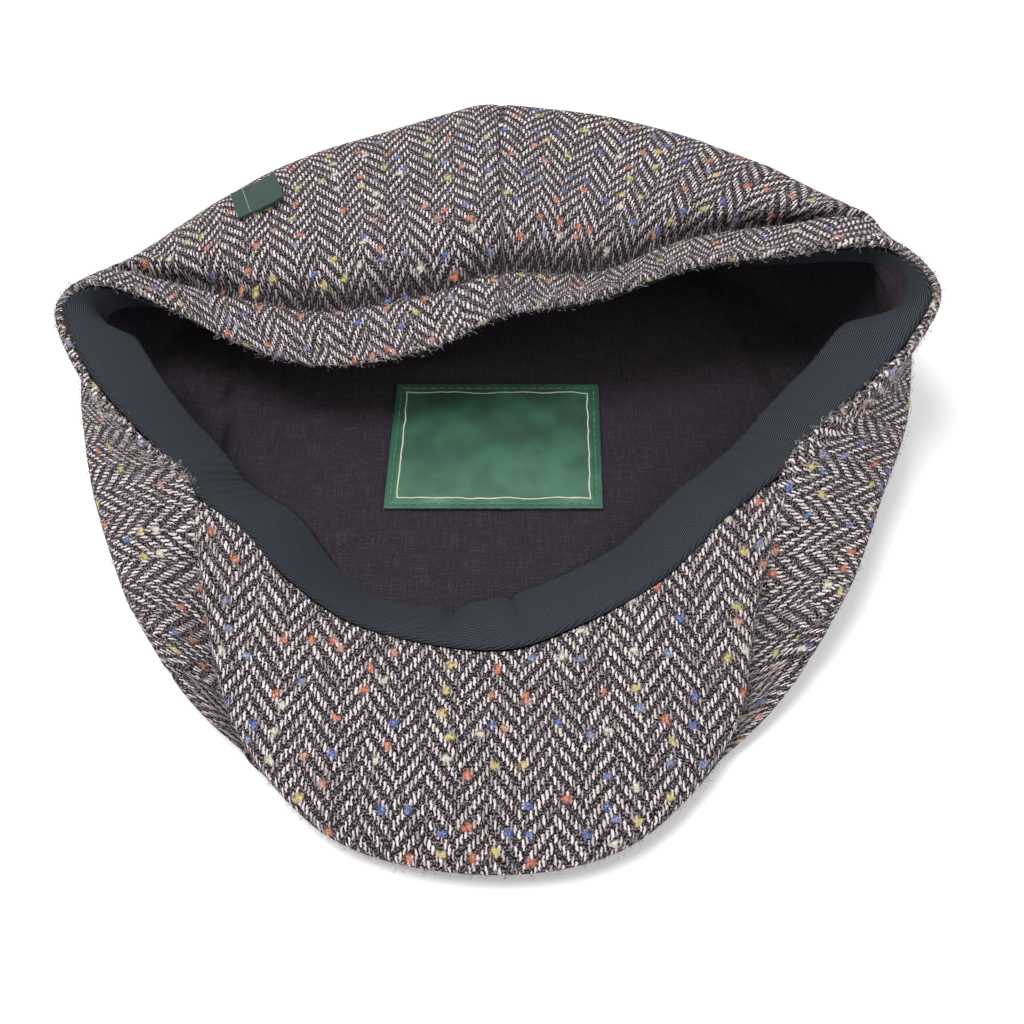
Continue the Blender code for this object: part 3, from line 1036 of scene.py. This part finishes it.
def sewnEdge(section):
    after = (section - crown["rightRoot"]) % count
    span = count - crown["rightRoot"] + crown["leftRoot"]
    if after < span:
        place = (1 - after / span) * (len(bandRoot) - 1)
        return openCurve(bandRoot, place) + Vector((0, 0.0006, 0))
    return insideCrown(section, band["edgeRing"], band["depth"])


@lru_cache(maxsize=None)
def rimPoint(section):
    # The opening's edge, smoothed where the rim runs into the root of the peak.
    section = section % count
    near = min(abs(section - crown["leftRoot"]), abs(section - crown["rightRoot"]))
    reach = band["blend"] * smooth(1.6, 0.5, near)
    if reach == 0:
        return sewnEdge(section)
    total = Vector()
    for i in range(-4, 5):
        total += sewnEdge(section + reach * i / 4)
    middle = total / 9
    return middle + band["cornerOut"] * bump(near, 0, 0.6) * Vector((math.copysign(1, middle.x), 0, 0))


def bandDirection(section):
    ahead, behind = rimPoint(section + band["span"]), rimPoint(section - band["span"])
    inward = up.cross((behind - ahead).normalized()).normalized()
    tilt = math.radians(roundCurve([row.tilt for row in crown["rows"]], section))
    return math.cos(tilt) * inward - math.sin(tilt) * up


bandFolds = [
    # middle of each fold along x, its half width, how far the inner edge lifts and how far it draws back
    (-0.0200, 0.0110, -0.0008, 0.0024),
    (-0.0135, 0.0034, -0.0026, 0.0030),
    (-0.0050, 0.0060, 0.0006, 0.0018),
    (0.0050, 0.0060, 0.0010, 0.0014),
    (0.0105, 0.0024, -0.0010, 0.0012),
    (0.0170, 0.0050, 0.0004, 0.0004),
]


def makeSweatband():
    lengths = [0.0]
    last = rimPoint(0)
    for i in range(1, count * 12 + 1):
        point = rimPoint(i / 12)
        lengths.append(lengths[-1] + (point - last).length)
        last = point

    def shape(section, share):
        edge = rimPoint(section)
        direction = bandDirection(section)
        drawn = sum(part * bump(section, at, half) for at, half, part in band["narrow"])
        width = band["width"] * (1 - drawn)
        point = edge + share * width * direction
        inFront = smooth(-0.02, -0.03, edge.y)
        lift = draw = 0.0
        for x, width, rise, pull in bandFolds:
            near = bump(edge.x, x, width) * inFront
            lift += rise * near
            draw += pull * near
        belly = band["belly"] * math.sin(math.pi * share)
        ripple = band["ripple"] * noise.noise(edge * 30) * share
        roll = band["roll"] * smooth(0.03, 0.0, share)
        point += (lift * share**1.5 + belly + ripple - roll) * up
        return point - draw * share * direction

    def flat(section, share):
        return between(lengths, section * 12), share * band["width"]

    shares = [0, 0.015, 0.03, 0.045, 0.06, 0.08] + steps(0.11, 1, 18)
    sections = steps(0, count, count * 16)
    clothSheet(
        "sweatband_twill", sections, shares, shape, flat, band["wall"], bandTwill,
        ["sweatband"],
    )


makeSweatband()
print("sweatband ready")


def threads(name, courses, radius, material, corners=0, capped=False):
    # Each course of points becomes a round thread.
    curve = bpy.data.curves.new(name, "CURVE")
    curve.dimensions = "3D"
    curve.bevel_depth = radius
    curve.bevel_resolution = corners
    curve.use_fill_caps = capped
    for course in courses:
        line = curve.splines.new("POLY")
        line.points.add(len(course) - 1)
        for point, place in zip(line.points, course):
            point.co = (*place, 1)
    source = bpy.data.objects.new(name, curve)
    mesh = bpy.data.meshes.new_from_object(source)
    bpy.data.objects.remove(source)
    mesh.materials.clear()
    addPiece(name, mesh, material, ())


def stitches(name, places, radius, material, sag=0.3):
    # Each stitch is a short thread that dips into the cloth at both ends.
    courses = []
    for start, end, above in places:
        heights = [radius * (math.sin(math.pi * i / 4) * 1.6 - sag) for i in range(5)]
        courses.append([start.lerp(end, i / 4) + height * above for i, height in enumerate(heights)])
    threads(name, courses, radius, material, 1, True)


def makeLabel():
    low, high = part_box("label_patch")
    centre = (low + high) / 2
    halfX, halfY = (high.x - low.x) / 2, (high.y - low.y) / 2

    def top(x, y):
        ground = foldHeight(Vector((centre.x + x, centre.y + y, 0)))
        wave = 0.0006 * noise.noise(Vector((x, y, 0)) * 55 + Vector((3, 7, 1)))
        wave += 0.00025 * math.sin(x * 330 + 0.6) * bump(halfY - abs(y), 0.003, 0.004)
        edge = min(halfX - abs(x), halfY - abs(y))
        seamDip = 0.0004 * bump(edge, 0.0012, 0.0008)
        return high.z + 0.0005 + 0.6 * ground + wave * smooth(0, 0.004, edge) - seamDip

    def shape(a, b):
        x, y = a * halfX, b * halfY
        lean = label["lean"] * y - label["aside"]
        fray = 0.0002 * noise.noise(Vector((x, y, 4)) * 900) * (abs(a) > 0.999 or abs(b) > 0.999)
        return Vector((centre.x + x - lean + fray, centre.y + y - label["lower"] + fray, top(x, y)))

    def flat(a, b):
        return a * halfX, b * halfY

    clothSheet(
        "label_satin_patch", steps(-1, 1, 96), steps(-1, 1, 76), shape, flat, label["wall"], labelSatin,
        ["label_patch"],
    )
    places = []

    def stitchRow(crosswise, side):
        # Along the top or the bottom edge when crosswise, and otherwise along a side edge.
        half, other = (halfX, halfY) if crosswise else (halfY, halfX)
        inset, pitch = label["stitchInset"], label["stitchPitch"]
        reach = label["stitch"] / 2 / half
        edge = side * (other - inset) / other
        for i in range(int(2 * (half - inset) / pitch)):
            place = (-half + inset + (i + 0.5) * pitch) / half
            ends = [(place - reach, edge), (place + reach, edge)]
            if not crosswise:
                ends = [end[::-1] for end in ends]
            places.append((shape(*ends[0]), shape(*ends[1]), up))

    for side in (-1, 1):
        stitchRow(True, side)
        stitchRow(False, side)
    thread = makeThread("label_thread", label["thread"])
    stitches("label_stitches", places, label["threadRadius"], thread)


makeLabel()


def makeTab():
    at = crownPoint(*tab["at"])
    normal = crownNormal(*tab["at"])
    along = Vector((math.cos(math.radians(tab["turn"])), math.sin(math.radians(tab["turn"])), 0))
    along = (along - along.dot(normal) * normal).normalized()
    across = normal.cross(along)

    def shape(length, width):
        lift = 0.0009 + tab["wall"] + tab["curl"] * (length / tab["length"]) ** 2
        lift += 0.0002 * noise.noise(Vector((length, width, 0)) * 300)
        return at + length * along + width * across + lift * normal

    def flat(length, width):
        return length, width

    lengths = steps(0, tab["length"], 30)
    widths = steps(-tab["width"] / 2, tab["width"] / 2, 20)
    piece = clothSheet(
        "side_tab_ribbon", lengths, widths, shape, flat, tab["wall"] * 2, tabRibbon,
        ["side_tab"],
    )
    rounding = piece.modifiers.new("edges", "BEVEL")
    rounding.width = 0.0003
    rounding.segments = 2
    places = []
    pitch = tab["stitchPitch"]
    for i in range(int(tab["width"] / pitch)):
        start = -tab["width"] / 2 + i * pitch + 0.0004
        places.append((shape(tab["stitchAt"], start), shape(tab["stitchAt"], start + pitch * 0.8), normal))
    thread = makeThread("tab_thread", tab["thread"])
    stitches("side_tab_stitches", places, tab["threadRadius"], thread)


makeTab()
print("label and tab ready")


fuzz = {
    "panelHairs": 2600,  # on each side panel
    "peakHairs": 1700,
    "edgeHairs": 900,  # along the folded rim
    "length": (0.0008, 0.0026),
    "radius": 0.000034,
    "pale": (0.62, 0.57, 0.56),
    "dark": (0.06, 0.05, 0.055),
}


def makeWool():
    m = Finish("loose_wool", 1.0)
    position = m.node("ShaderNodeTexCoord", {}, {}, 3)
    shade = m.noise(position, 420.0, 1.0)
    m.color(m.mix(m.rise(0.42, 0.56, shade), fuzz["dark"], fuzz["pale"]))
    m.relief(m.noise(position, 4000.0, 1.0), 0.00003, 0.4)
    return m.material


def makeFuzz():
    # Loose wool fibres that stand off the tweed, each a thread of three points.
    hairs = []

    def hair(root, normal, stand):
        lean = Vector((rng.gauss(0, 1), rng.gauss(0, 1), rng.gauss(0, 1)))
        lean = (lean - lean.dot(normal) * normal).normalized()
        length = rng.uniform(*fuzz["length"])
        bend = Vector((rng.gauss(0, 1), rng.gauss(0, 1), rng.gauss(0, 1))) * 0.22 * length
        middle = root + length * (0.5 * lean + 0.42 * stand * normal) + bend
        tip = root + length * (lean + 0.5 * stand * normal)
        hairs.append((root, middle, tip))

    left = (crown["leftNotch"] + 0.3, crown["backSeam"])
    right = (crown["backSeam"], crown["rightNotch"] - 0.3)
    for low, high in (left, right):
        for i in range(fuzz["panelHairs"]):
            section = rng.uniform(low, high)
            ring = rng.uniform(0.12, min(3.6, seamRing(section)))
            normal = crownNormal(section, ring)
            point = crownPoint(section, ring)
            hair(point + crownWrinkle(section, ring, point) * normal, normal, rng.uniform(0.3, 1.0))
        for i in range(fuzz["edgeHairs"]):
            section = rng.uniform(max(low, crown["leftRoot"]), min(high, crown["rightRoot"]))
            turn = rng.uniform(0.1, 0.7)
            point = hemPoint(section, turn)
            down = (crownPoint(section, 0.06) - crownPoint(section, 0)).normalized()
            away = math.cos(math.pi * turn) * crownNormal(section, 0.03) - math.sin(math.pi * turn) * down
            hair(point, away.normalized(), rng.uniform(0.4, 1.0))
    for i in range(fuzz["peakHairs"]):
        along = rng.uniform(0, len(rootLine) - 1)
        lip, out, above = peakFrame(along)
        if i % 3:
            root = peakFace(along, rng.uniform(0.06, 0.97))
            hair(root, up, rng.uniform(0.2, 0.8))
        else:
            half = peak["thickness"] / 2
            angle = rng.uniform(-1.2, 1.2)
            away = math.cos(angle) * out + math.sin(angle) * above
            hair(lip + half * (away - out - above), away, rng.uniform(0.4, 1.0))
    threads("wool_fuzz", hairs, fuzz["radius"], makeWool())


makeFuzz()
print("fuzz ready")


view = {
    "place": (0.0055, -0.2149, 0.2640),
    "elevation": 53.0,
    "lens": 38.6,
    "sensor": 36.0,
}
studio = {
    "floorSize": 3.0,
    "paper": ((0.86, 0.86, 0.86), (0.90, 0.90, 0.90)),
    "world": 0.85,
    "key": ((-0.35, -0.10, 1.05), 0.45, 8.5),  # place, size and power
    "fill": ((0.6, -0.6, 0.8), 1.0, 3.0),
}


def makeCamera():
    data = bpy.data.cameras.new("camera")
    data.lens = view["lens"]
    data.sensor_width = view["sensor"]
    data.clip_start = 0.01
    camera = bpy.data.objects.new("camera", data)
    bpy.context.scene.collection.objects.link(camera)
    turn = Matrix.Rotation(math.radians(90 - view["elevation"]), 4, "X")
    camera.matrix_world = Matrix.Translation(view["place"]) @ turn
    bpy.context.scene.camera = camera


def makeLight(name, place, size, power):
    data = bpy.data.lights.new(name, "AREA")
    data.shape = "DISK"
    data.size = size
    data.energy = power
    light = bpy.data.objects.new(name, data)
    bpy.context.scene.collection.objects.link(light)
    light.location = place
    light.rotation_euler = (-Vector(place)).to_track_quat("-Z", "Y").to_euler()


def makeStudio():
    floorMesh = bpy.data.meshes.new("floor")
    sheet = bmesh.new()
    bmesh.ops.create_grid(sheet, x_segments=2, y_segments=2, size=studio["floorSize"])
    sheet.to_mesh(floorMesh)
    sheet.free()
    floorObject = bpy.data.objects.new("floor", floorMesh)
    bpy.context.scene.collection.objects.link(floorObject)
    paper = Finish("floor_paper", 0.9)
    source = paper.node("ShaderNodeTexCoord", {}, {}, 3)
    paper.color(paper.mix(paper.noise(source, 12.0), *studio["paper"]))
    floorMesh.materials.append(paper.material)
    world = bpy.data.worlds.new("studio")
    world.use_nodes = True
    world.node_tree.nodes["Background"].inputs[0].default_value = (1.0, 1.0, 1.0, 1)
    world.node_tree.nodes["Background"].inputs[1].default_value = studio["world"]
    bpy.context.scene.world = world
    makeLight("key", *studio["key"])
    makeLight("fill", *studio["fill"])
    bpy.context.scene.view_settings.view_transform = "Standard"


makeCamera()
makeStudio()
